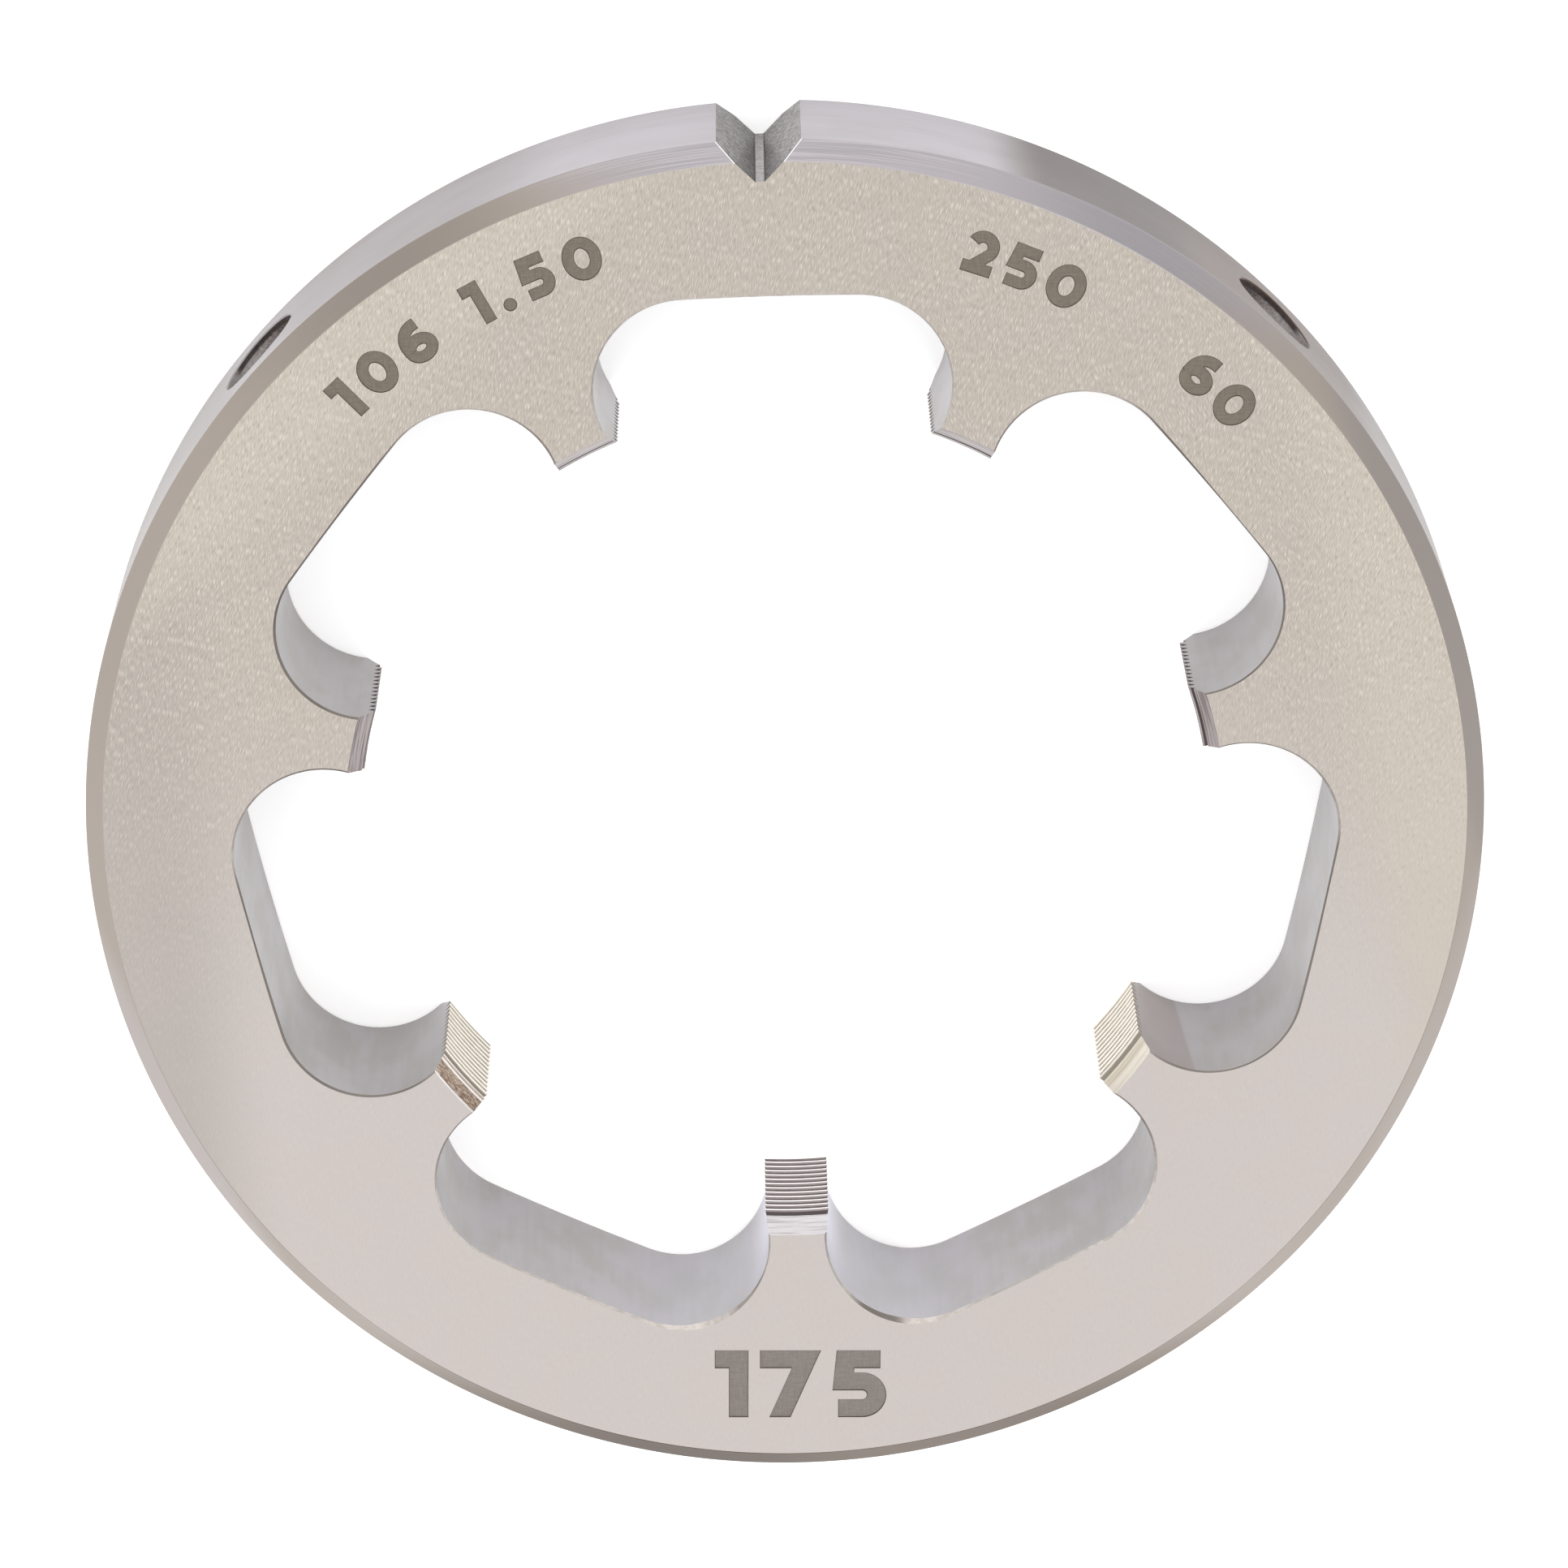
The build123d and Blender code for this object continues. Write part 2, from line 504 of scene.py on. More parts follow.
chamferMarks = {
    "lines": (16 * mm, 16 * mm, 0.09 * mm),
    "lineRange": (0.40, 0.60),
    "byNotch": (0.93 * rimRadius, 0.985 * rimRadius, 0.15, 1.0),
    # painted light and shade on the chamfer, by side of the ring
    "top": (76 * degree, 0.80 * rimRadius, 0.93 * rimRadius, 1.0),
    "left": (176 * degree, 0.76 * rimRadius, 0.90 * rimRadius, 1.0),
    "right": (16 * degree, 0.90 * rimRadius, 0.955 * rimRadius, 1.0),
    "lowLeft": (204 * degree, 0.94 * rimRadius, 0.98 * rimRadius, 0.8),
    "lowRight": (339 * degree, 0.95 * rimRadius, 0.985 * rimRadius, 0.3),
    "footY": (-64 * mm, -82 * mm),
    "darkestX": -15 * mm,
    "darkestReach": (24 * mm, 5 * mm),
    # painted highlight along the notch's edges
    "edgeHighlight": (0.09 * mm, 0.05 * mm),       # distance from the notch's walls
    "roughness": 0.32,
    "depth": 0.004 * mm,
}


def turnedChamfer():
    # rim chamfers, turned: fine lines round the ring, clear only by the notch, with painted light and shade
    # by side of the ring and a painted highlight along the notch's edges
    marks = chamferMarks
    finish = Finish("turnedChamfer")
    byNotch = finish.ramp(finish.towards(90 * degree), *marks["byNotch"])
    turned = finish.ramp(finish.noise(marks["lines"], detail=1.0), *marks["lineRange"])
    lines = (turned - 0.5) * byNotch + 0.5
    top = finish.mix(*colours["chamferTop"], lines)
    side = finish.mix(*colours["chamferSide"], lines)
    # painted light and shade on the chamfer, by side of the ring
    colour = finish.mix(side, top, finish.facing(*marks["top"]))
    colour = finish.mix(colour, colours["chamferLeft"], finish.facing(*marks["left"]))
    colour = finish.mix(colour, colours["chamferRight"], finish.facing(*marks["right"]))
    low = finish.facing(*marks["lowLeft"]) + finish.facing(*marks["lowRight"])
    colour = finish.mix(colour, colours["chamferLow"], low)
    darkest = finish.magnitude(finish.axis("X") - marks["darkestX"])
    foot = finish.mix(*colours["chamferFoot"], finish.ramp(darkest, *marks["darkestReach"]))
    colour = finish.mix(colour, foot, finish.ramp(finish.axis("Y"), *marks["footY"]))
    # painted highlight along the notch's edges
    edgeHighlight = finish.ramp(finish.fromNotch(), *marks["edgeHighlight"])
    colour = finish.mix(colour, colours["chamferEdgeHighlight"], edgeHighlight)
    return finish.finishAs(colour, marks["roughness"], lines, marks["depth"])


wallMarks = {
    "scratch": (0.9 * mm, 0.9 * mm, 14 * mm),
    "cloud": (6 * mm, 6 * mm, 10 * mm),
    "cloudRange": (0.38, 0.62),
    # painted highlight on the flute walls beside the lowest lands
    "byLandReach": (64.0 * mm, 57.5 * mm),      # distance from the axis
    "byLandY": (-34 * mm, -41 * mm),
    "bottomX": (34 * mm, 8 * mm, 0.0, 0.24),
    "bottomY": (-44 * mm, -54 * mm),
    "secondCutShare": 0.85,
    "roughness": 0.28,
    "cloudRoughness": 0.08,
    "depth": 0.002 * mm,
}


def milledWall():
    # flute walls: smooth and grey, with painted highlights beside the lands of the two lowest flutes
    marks = wallMarks
    finish = Finish("milledWall")
    scratch = finish.noise(marks["scratch"])
    cloud = finish.noise(marks["cloud"], detail=3.0)
    cloudy = finish.ramp(scratch * 0.3 + cloud * 0.7, *marks["cloudRange"])
    plain = finish.mix(*colours["wall"], cloudy)
    # painted highlight on the flute walls beside the lowest lands
    byLand = finish.ramp(finish.fromAxis(), *marks["byLandReach"])
    byLand = byLand * finish.ramp(finish.axis("Y"), *marks["byLandY"])
    colour = finish.mix(plain, colours["wallByLandHighlight"], byLand)
    # painted highlight on the flute walls beside the bottom land
    nearBottom = finish.ramp(finish.magnitude(finish.axis("X")), *marks["bottomX"])
    nearBottom = nearBottom * finish.ramp(finish.axis("Y"), *marks["bottomY"])
    colour = finish.mix(colour, colours["wallByLandHighlight"], nearBottom)
    colour = finish.mix(colour, colours["wallSecondCut"], finish.secondCut() * marks["secondCutShare"])
    roughness = marks["roughness"] + cloud * marks["cloudRoughness"]
    return finish.finishAs(colour, roughness, scratch, marks["depth"])


edgeMarks = {
    "scratch": (0.9 * mm, 0.9 * mm, 0.9 * mm),
    "scratchRange": (0.36, 0.68),
    # painted shade on the edge breaks at the sides and beside the bottom land
    "darkX": (40 * mm, 50 * mm),
    "darkY": (-44 * mm, -34 * mm),
    "plainY": (3 * mm, 9 * mm),
    "landRight": (9.5 * mm, 4.5 * mm),
    "landLeft": (-7 * mm, 3 * mm),
    "landLeftShare": 0.6,
    "landY": (-50 * mm, -56 * mm),
    "roughness": 0.40,
    "depth": 0.004 * mm,
}


def brokenEdge():
    # the small break round each flute, filed by hand: painted shade at the sides, except round the upper
    # lobes
    #     # of the middle flutes, and in two short stretches beside the bottom land
    marks = edgeMarks
    finish = Finish("brokenEdge")
    scratch = finish.noise(marks["scratch"], detail=4.0, rough=0.6)
    colour = finish.mix(*colours["edge"], finish.ramp(scratch, *marks["scratchRange"]))
    # painted shade on the edge breaks at the sides and beside the bottom land
    side = finish.ramp(finish.magnitude(finish.axis("X")), *marks["darkX"])
    side = side * finish.ramp(finish.axis("Y"), *marks["darkY"])
    side = side * (1 - finish.band(finish.axis("Y"), *marks["plainY"]))
    byLand = finish.band(finish.axis("X"), *marks["landLeft"]) * marks["landLeftShare"]
    byLand = finish.band(finish.axis("X"), *marks["landRight"]) + byLand
    dark = side + byLand * finish.ramp(finish.axis("Y"), *marks["landY"])
    colour = finish.mix(colour, colours["edgeSideShade"], dark)
    return finish.finishAs(colour, marks["roughness"], scratch, marks["depth"])


toothMarks = {
    "crestRoughness": 0.25,
    "torn": (0.8 * mm, 0.8 * mm, 0.20 * mm),
    "wander": 0.12 * mm,
    "sideShift": 0.06 * mm,
    # the grooves' painted shade deepens over this depth
    "deepRange": (0.13 * mm, 0.28 * mm),        # depth below the tooth tips
    "roughness": 0.35,
    "depth": 0.003 * mm,
}


def toothCrest():
    # narrow flat crests of the teeth, creamy on the side lands, kept light as painted light beside the
    # grooves' painted shade
    finish = Finish("toothCrest")
    colour = finish.mix(*colours["crest"], finish.sideLands())
    return finish.finishAs(colour, toothMarks["crestRoughness"])


def threadGroove():
    # grooves between the teeth: painted shade, greyer at the bottom land, creamy on the side lands, darker
    # further in
    marks = toothMarks
    finish = Finish("threadGroove")
    side = finish.sideLands()
    torn = finish.noise(marks["torn"], detail=3.0, rough=0.6)
    depth = finish.fromAxis() - tipRadius + (torn - 0.5) * marks["wander"] + side * marks["sideShift"]
    # painted shade, darker deeper in the grooves
    outer = finish.mix(*colours["groove"], side)
    inner = finish.mix(*colours["grooveDeepShade"], side)
    colour = finish.mix(outer, inner, finish.ramp(depth, *marks["deepRange"]))
    return finish.finishAs(colour, marks["roughness"], torn, marks["depth"])


# along the cone, 0 is at the teeth and 1 at the face
leadMarks = {
    "lines": (9 * mm, 9 * mm, 0.30 * mm),
    "lineRange": (0.44, 0.62),
    "upperLandsY": (-10 * mm, 5 * mm),
    "creamBand": (0.45, 0.25),
    "grain": (0.7 * mm, 0.7 * mm, 0.20 * mm),
    "grainRange": (0.38, 0.60),
    "stainAlong": (0.25, 0.5, 0.35, 1.0),
    "leftX": (0.0, -20 * mm),
    "brightBands": ((0.17, 0.045), (0.34, 0.045), (0.96, 0.05)),
    "roughness": 0.28,
    "depth": 0.003 * mm,
}


def leadIn():
    # cones that open the bore at both faces, turned: lines round the ring, darker on the upper lands,
    #     # cream on the side lands, and stained brown between bright lines on the left one
    marks = leadMarks
    finish = Finish("leadIn")
    lines = finish.ramp(finish.noise(marks["lines"], detail=3.0, rough=0.6), *marks["lineRange"])
    fromMiddle = finish.magnitude(finish.axis("Z") - (dieLow.z + thick / 2))
    along = (fromMiddle - (thick / 2 - leadLength)) * (1 / leadLength)
    clean = finish.mix(*colours["leadIn"], lines)
    dull = finish.mix(*colours["leadInUpper"], lines)
    colour = finish.mix(clean, dull, finish.ramp(finish.axis("Y"), *marks["upperLandsY"]))
    cream = finish.band(along, *marks["creamBand"]) * 0.6 + lines * 0.4
    colour = finish.mix(colour, finish.mix(*colours["leadInCream"], cream), finish.sideLands())
    grain = finish.ramp(finish.noise(marks["grain"], detail=4.0, rough=0.75), *marks["grainRange"])
    stain = finish.mix(*colours["leadInStain"], grain * finish.ramp(along, *marks["stainAlong"]))
    left = finish.sideLands() * finish.ramp(finish.axis("X"), *marks["leftX"])
    colour = finish.mix(colour, stain, left)
    first, second, third = [finish.band(along, *place) for place in marks["brightBands"]]
    colour = finish.mix(colour, colours["leadIn"][0], (first + second + third) * left)
    return finish.finishAs(colour, marks["roughness"], lines, marks["depth"])


notchMarks = {
    "scratchWidth": 0.15 * mm,
    "scratchLength": 1.8 * mm,
    "mottle": (0.40 * mm, 0.40 * mm, 0.5 * mm),
    "wornRange": (0.41, 0.58),
    # painted shade on the left wall, near the root and along the root's corners
    "leftX": (0.3 * mm, -0.3 * mm, 0.0, 0.25),
    "shadeNearRoot": (2.6 * mm, 0.6 * mm, 0.0, 0.15),
    "rootShadeLines": (0.62 * mm, 0.16 * mm),
    "rootShadeShare": 0.8,
    "flat": (halfRoot - 0.02 * mm, halfRoot - 0.08 * mm),
    "roughness": 0.42,
    "depth": 0.01 * mm,
}


def cutNotch():
    # notch walls: scratched slantwise and mottled, with painted shade on the left wall, near the root and
    # in two lines along the root's corners, and a lighter flat root between those lines
    marks = notchMarks
    finish = Finish("cutNotch")
    away = finish.magnitude(finish.axis("X"))
    outward = (away + finish.axis("Y")) * diagonal
    height = finish.axis("Z")
    slantwise = finish.node("ShaderNodeCombineXYZ", inputs={
        0: (outward + height) * (1 / marks["scratchWidth"]),
        1: (height - outward) * (1 / marks["scratchLength"]),
        2: away * (1 / mm),
    })
    scratches = finish.grainAt(slantwise, 3.0, 0.6)
    mottle = finish.noise(marks["mottle"], detail=4.0, rough=0.75)
    worn = finish.ramp(mottle * 0.5 + scratches * 0.5, *marks["wornRange"])
    # painted shade on the left wall, near the root and along the root's corners
    left = finish.ramp(finish.axis("X"), *marks["leftX"])
    shadeNearRoot = finish.ramp(away, *marks["shadeNearRoot"])
    lines = finish.band(away, *marks["rootShadeLines"])
    shade = worn + left + shadeNearRoot + lines * marks["rootShadeShare"]
    colour = finish.mix(*colours["notch"], shade)
    flat = finish.ramp(away, *marks["flat"])
    colour = finish.mix(colour, colours["notchRoot"], flat * (0.9 - worn * 0.5))
    return finish.finishAs(colour, marks["roughness"], worn, marks["depth"])


dimpleMarks = {
    "grain": (0.5 * mm, 0.5 * mm, 0.4 * mm),
    "speck": (0.30 * mm, 0.30 * mm, 0.30 * mm),
    "speckRange": (0.74, 0.80),
    # painted shade at the end by the notch, along the far lip and deep inside
    "shadeByNotchY": (56 * mm, 64 * mm),
    "shadeRange": (0.26, 0.68),
    "lip": (rimRadius - 0.9 * mm, rimRadius - 0.6 * mm),
    "lipZ": (9.5 * mm, 8.0 * mm),
    "lipY": (64.5 * mm, 60.5 * mm, 0.3, 0.9),
    "deep": (rimRadius - 3.5 * mm, rimRadius - 7.5 * mm, 0.0, 0.55),
    "roughness": 0.50,
    "depth": 0.008 * mm,
}


def drilledDimple():
    # drilled dimples: grained, with painted shade at the end by the notch, along the far lip and deep
    # inside,
    #     # and a few bright specks
    marks = dimpleMarks
    finish = Finish("drilledDimple")
    grain = finish.noise(marks["grain"], detail=4.0, rough=0.65)
    specks = finish.ramp(finish.noise(marks["speck"], detail=1.0), *marks["speckRange"])
    # painted shade at the end by the notch
    byNotch = finish.ramp(finish.axis("Y"), *marks["shadeByNotchY"])
    shade = finish.ramp(grain * 0.65 + byNotch * 0.35, *marks["shadeRange"])
    colour = finish.mix(*colours["dimple"], shade)
    # painted shade along the far lip and deep inside
    lip = finish.ramp(finish.fromAxis(), *marks["lip"])
    farSide = finish.ramp(finish.axis("Z"), *marks["lipZ"]) * finish.ramp(finish.axis("Y"), *marks["lipY"])
    deep = finish.ramp(finish.fromAxis(), *marks["deep"])
    colour = finish.mix(colour, colours["dimpleShade"], lip * farSide + deep)
    colour = finish.mix(colour, colours["dimpleSpeck"], specks)
    return finish.finishAs(colour, marks["roughness"], grain, marks["depth"])


engravedMarks = {
    "upright": (0.16 * mm, 2.6 * mm, 1.0),
    "level": (2.6 * mm, 0.16 * mm, 1.0),
    "grain": (0.5 * mm, 0.5 * mm, 1.0),
    "hatchRange": (0.40, 0.60),
    "upperY": (-20 * mm, 20 * mm),
    "footGrain": (0.5 * mm, 0.5 * mm, 0.5 * mm),
    "footShare": 0.6,
    "roughness": 0.55,
}


def engravedFloor():
    # sunk floors of the numbers: dull, with faint lines both ways, browner in the upper signs
    marks = engravedMarks
    finish = Finish("engravedFloor")
    upright = finish.noise(marks["upright"])
    level = finish.noise(marks["level"])
    grain = finish.noise(marks["grain"], detail=3.0, rough=0.6)
    hatch = finish.ramp(upright * 0.35 + level * 0.35 + grain * 0.3, *marks["hatchRange"])
    upper = finish.mix(*colours["engraved"], hatch)
    lower = finish.mix(*colours["engravedLow"], hatch)
    colour = finish.mix(lower, upper, finish.ramp(finish.axis("Y"), *marks["upperY"]))
    return finish.finishAs(colour, marks["roughness"])


def engravedEdge():
    # the sloping foot of the numbers' walls, in shade
    marks = engravedMarks
    finish = Finish("engravedEdge")
    grain = finish.noise(marks["footGrain"]) * marks["footShare"]
    colour = finish.mix(colours["engravedEdge"], colours["engraved"][1], grain)
    return finish.finishAs(colour, marks["roughness"])


finishes = {
    made.name: made
    for made in (
        groundFace(), groundRim(), turnedChamfer(), milledWall(), brokenEdge(), toothCrest(),
        threadGroove(), leadIn(), cutNotch(), drilledDimple(), engravedFloor(), engravedEdge(),
    )
}
print("steel finishes made:", len(finishes))


# Blank: a ground disc with both rims chamfered

blankSizes = {
    "segments": 720,
    "cornerBreak": 0.05 * mm,
}


def addBlank():
    sizes = blankSizes
    clearPick()
    bpy.ops.mesh.primitive_cylinder_add(
        vertices=sizes["segments"], radius=rimRadius, depth=thick, location=(0, 0, dieLow.z + thick / 2),
    )
    blank = nameNew("groundDie")
    for finish in ("groundFace", "groundRim", "turnedChamfer", "brokenEdge"):
        blank.data.materials.append(finishes[finish])
    for face in blank.data.polygons:
        level = abs(face.normal.z) > levelFace
        face.material_index = slotOf(blank, "groundFace" if level else "groundRim")
    choose(blank, "EDGE", lambda edge: atHeight(edge, dieLow.z, dieHigh.z))
    breakEdges(blank, rimChamfer, "turnedChamfer")
    # each chamfer's two corners get a hair of a flat, which catches the light
    corners = (dieLow.z, dieHigh.z, dieLow.z + rimChamfer, dieHigh.z - rimChamfer)
    choose(blank, "EDGE", lambda edge: atHeight(edge, *corners))
    breakEdges(blank, sizes["cornerBreak"], "turnedChamfer")
    return blank


# Numbers: plain figures sunk in the start face, drawn as single strokes one unit high

# A ring or dot has its centre and half widths. A path starts at a point: a line is a move, and an arc
# has its centre, turn and steps.
figures = {
    "0": [("ring", (0, 0.5), 0.30, 0.365)],
    "1": [("path", (-0.33, 0.865), [("line", 0.33, 0), ("line", 0, -0.865)])],
    "2": [
        ("path", (-0.22, 0.71), [("arc", (0, 0.63), -195 * degree, 20), ("line", -0.40, -0.44)]),
        ("path", (-0.34, 0.135), [("line", 0.68, 0)]),
    ],
    "5": [("path", (0.28, 0.865), [
        ("line", -0.48, 0), ("line", -0.03, -0.33), ("line", 0.26, 0), ("arc", (0.03, 0.335), -math.pi, 24),
        ("line", -0.33, 0),
    ])],
    "6": [
        ("ring", (0.02, 0.335), 0.26, 0.20),
        ("path", (-0.25, 0.335), [
            ("line", 0, 0.15), ("arc", (0.13, 0.485), -math.pi / 2, 16), ("line", 0.10, 0),
        ]),
    ],
    "7": [("path", (-0.36, 0.865), [("line", 0.64, 0), ("line", -0.42, -1.0)])],
    ".": [("dot", (0, 0.15), 0.15)],
}
signSizes = {
    "depth": 0.12 * mm,
    "foot": (0.10 * mm, 0.03 * mm),     # width and drop of the sloping foot of the walls
    "stroke": 0.27,                     # width of a stroke, as a share of the figure's height
    "space": 0.40,                      # width of a space, also as a share
    "ringSteps": 48,
    "upperHeight": 5.6 * mm,
    "upper": [
        {"text": "106 1.50", "length": 38.0 * mm, "radius": 77.2 * mm, "middle": 118.9 * degree},
        {"text": "250", "length": 15.6 * mm, "radius": 77.5 * mm, "middle": 65.6 * degree},
        {"text": "60", "length": 10.4 * mm, "radius": 77.4 * mm, "middle": 44.6 * degree},
    ],
    "baseHeight": 9.3 * mm,
    "base": {"text": "175", "length": 22.0 * mm, "place": (-0.9 * mm, -75.5 * mm), "turn": -2.3 * degree},
}


def drawStroke(stroke, height):
    # a ribbon stood on the drawn line, then thickened to both sides; a dot is a plain round pin
    kind, start = stroke[:2]
    rise = {"value": (0, 0, signSizes["depth"] + pastSteel)}
    if kind != "path":
        clearPick()
        bpy.ops.mesh.primitive_circle_add(
            vertices=signSizes["ringSteps"], radius=height,
            location=(start[0] * height, start[1] * height, 0),
            fill_type="NGON" if kind == "dot" else "NOTHING",
        )
        bpy.ops.transform.resize(value=(stroke[2], stroke[-1], 1))
        ribbon = nameNew("figureStroke")
    else:
        moves = []
        for move in stroke[2]:
            if move[0] == "line":
                moves.append(("line", move[1] * height, move[2] * height))
            else:
                moves.append(("arc", (move[1][0] * height, move[1][1] * height), move[2], move[3]))
        ribbon = drawPath("figureStroke", (start[0] * height, start[1] * height), moves)
    choose(ribbon, "EDGE", lambda edge: True)
    bpy.ops.mesh.extrude_region_move(TRANSFORM_OT_translate=rise)
    bpy.ops.object.mode_set(mode="OBJECT")
    if kind == "dot":
        cleanUp(ribbon)
        return ribbon
    wall = ribbon.modifiers.new("wall", "SOLIDIFY")
    wall.thickness = signSizes["stroke"] * height
    wall.offset = 0
    wall.use_even_offset = True
    bpy.ops.object.modifier_apply(modifier="wall")
    choose(ribbon, "FACE", lambda face: True)
    # what runs below the foot line is trimmed off
    bpy.ops.mesh.bisect(
        plane_co=(0, -tiny, 0), plane_no=(0, 1, 0), use_fill=True, clear_inner=True, threshold=tiny / 10,
    )
    cleanUp(ribbon)
    return ribbon


def layFigures(sign, height):
    # the figures side by side along the local X axis, from their own widths to the sign's length
    drawn = []
    for character in sign["text"]:
        if character == " ":
            drawn.append(None)
        else:
            drawn.append(joined([drawStroke(stroke, height) for stroke in figures[character]]))
    space = (0, signSizes["space"] * height)
    ends = []
    for figure in drawn:
        across = [vert.co.x for vert in figure.data.vertices] if figure else space
        ends.append((min(across), max(across)))
    gap = (sign["length"] - sum(high - low for low, high in ends)) / (len(ends) - 1)
    along = -sign["length"] / 2
    floor = dieHigh.z - signSizes["depth"]
    for figure, (low, high) in zip(drawn, ends):
        if figure:
            figure.data.transform(Matrix.Translation((-(low + high) / 2, -height / 2, floor)))
            yield figure, along + (high - low) / 2
        along += high - low + gap


def engraveSigns(blank):
    cutters = []
    for sign in signSizes["upper"]:
        for figure, along in layFigures(sign, signSizes["upperHeight"]):
            turn = sign["middle"] - along / sign["radius"] - math.pi / 2
            outward = Matrix.Translation((0, sign["radius"], 0))
            figure.data.transform(Matrix.Rotation(turn, 4, "Z") @ outward)
            cutters.append(figure)
    base = signSizes["base"]
    for figure, along in layFigures(base, signSizes["baseHeight"]):
        turned = Matrix.Rotation(base["turn"], 4, "Z") @ Matrix.Translation((along, 0, 0))
        figure.data.transform(Matrix.Translation((*base["place"], 0)) @ turned)
        cutters.append(figure)
    cutter = joined(cutters)
    cutter.data.materials.clear()
    cutter.data.materials.append(finishes["engravedFloor"])
    cut(blank, cutter, overlapping=True)
    floor = dieHigh.z - signSizes["depth"]
    width, drop = signSizes["foot"]
    choose(blank, "FACE", lambda face: atHeight(face, floor))
    bpy.ops.mesh.inset(thickness=width, depth=-drop, use_even_offset=False, use_boundary=True)
    bpy.ops.object.mode_set(mode="OBJECT")
    blank.data.materials.append(finishes["engravedEdge"])
    for face in blank.data.polygons:
        if face.material_index == slotOf(blank, "engravedFloor") and face.normal.z < levelFace:
            face.material_index = slotOf(blank, "engravedEdge")


# Flutes: two round lobes joined by a nearly straight floor, seven times round

fluteSizes = {
    "count": 7,
    "turn": -0.55 * degree,
    "landNeck": 7.35 * mm,
    "neckFromTips": 2.75 * mm,
    "lobeRadius": 11.375 * mm,
    "crownRadius": 400.0 * mm,
    "edgeBreak": (0.16 * mm, 0.34 * mm),     # a hand-filed break wanders between these widths,
    "wanderOver": (5.3 * mm, 3.9 * mm),      # by sines of these lengths along X and Y,
    "wanderStart": 1.3,
    "edgeBreakWide": 0.62 * mm,              # and widens to this beside the bottom land
    "widePlace": (13 * mm, -66 * mm),
    "wideReach": 9 * mm,
    "lobeSteps": 84,
    "floorSteps": 12,
}


def addFluteCutter():
    sizes = fluteSizes
    half = math.pi / sizes["count"]
    radius = sizes["lobeRadius"]
    along = tipRadius + sizes["neckFromTips"]
    across = sizes["landNeck"] / 2 + radius
    lobe = Vector((
        along * math.sin(half) - across * math.cos(half),
        along * math.cos(half) + across * math.sin(half),
    ))
    floorCentre = Vector((0, lobe.y - math.sqrt((sizes["crownRadius"] - radius) ** 2 - lobe.x**2)))
    floorStart = math.atan2(lobe.y - floorCentre.y, lobe.x)
    cutter = drawPath("fluteCutter", (lobe.x, lobe.y - radius), [
        ("arc", lobe, floorStart + math.pi / 2, sizes["lobeSteps"]),
        ("arc", floorCentre, math.pi - 2 * floorStart, sizes["floorSteps"]),
        ("arc", Vector((-lobe.x, lobe.y)), floorStart + math.pi / 2, sizes["lobeSteps"]),
    ])
    choose(cutter, "VERT", lambda vert: True)
    bpy.ops.mesh.edge_face_add()
    bpy.ops.transform.translate(value=(0, 0, dieLow.z - pastSteel))
    bpy.ops.mesh.extrude_region_move(TRANSFORM_OT_translate={"value": (0, 0, thick + 2 * pastSteel)})
    cleanUp(cutter)
    cutter.data.materials.append(finishes["milledWall"])
    step = 2 * math.pi / sizes["count"]
    return turnedCopies(cutter, [sizes["turn"] + step * i for i in range(sizes["count"])])


def filedWidth(place):
    # how wide the break of a flute's edge is at a place
    sizes = fluteSizes
    x, y, z = place
    narrow, broad = sizes["edgeBreak"]
    overX, overY = sizes["wanderOver"]
    wideX, wideY = sizes["widePlace"]
    sideways = math.sin(x / overX + z / mm)
    upwards = math.sin(y / overY + sizes["wanderStart"])
    width = narrow + (broad - narrow) * (0.5 + 0.25 * sideways + 0.25 * upwards)
    nearWide = max(0, 1 - math.hypot(abs(x) - wideX, y - wideY) / sizes["wideReach"])
    return width + (sizes["edgeBreakWide"] - width) * nearWide


def cutFlutes(die):
    cut(die, addFluteCutter())
    wall = slotOf(die, "milledWall")
    choose(die, "EDGE", lambda edge: atHeight(edge, dieLow.z, dieHigh.z) and borders(edge, wall))
    bpy.ops.object.mode_set(mode="OBJECT")
    points = die.data.vertices
    widths = die.data.attributes.new("bevel_weight_edge", "FLOAT", "EDGE")
    for edge in die.data.edges:
        if edge.select:
            first, second = edge.vertices
            middle = (points[first].co + points[second].co) / 2
            widths.data[edge.index].value = filedWidth(middle) / mm
    filed = die.modifiers.new("filed", "BEVEL")
    filed.limit_method = "WEIGHT"
    filed.offset_type = "OFFSET"
    filed.width = mm
    filed.segments = 1
    filed.use_clamp_overlap = False
    filed.material = slotOf(die, "brokenEdge")
    bpy.ops.object.modifier_apply(modifier="filed")
    die.data.attributes.remove(die.data.attributes["bevel_weight_edge"])


# Bore: down to the tooth tips, with a lead-in cone at each end

boreSizes = {
    "leadAngle": 30 * degree,
    "segments": 720,
}


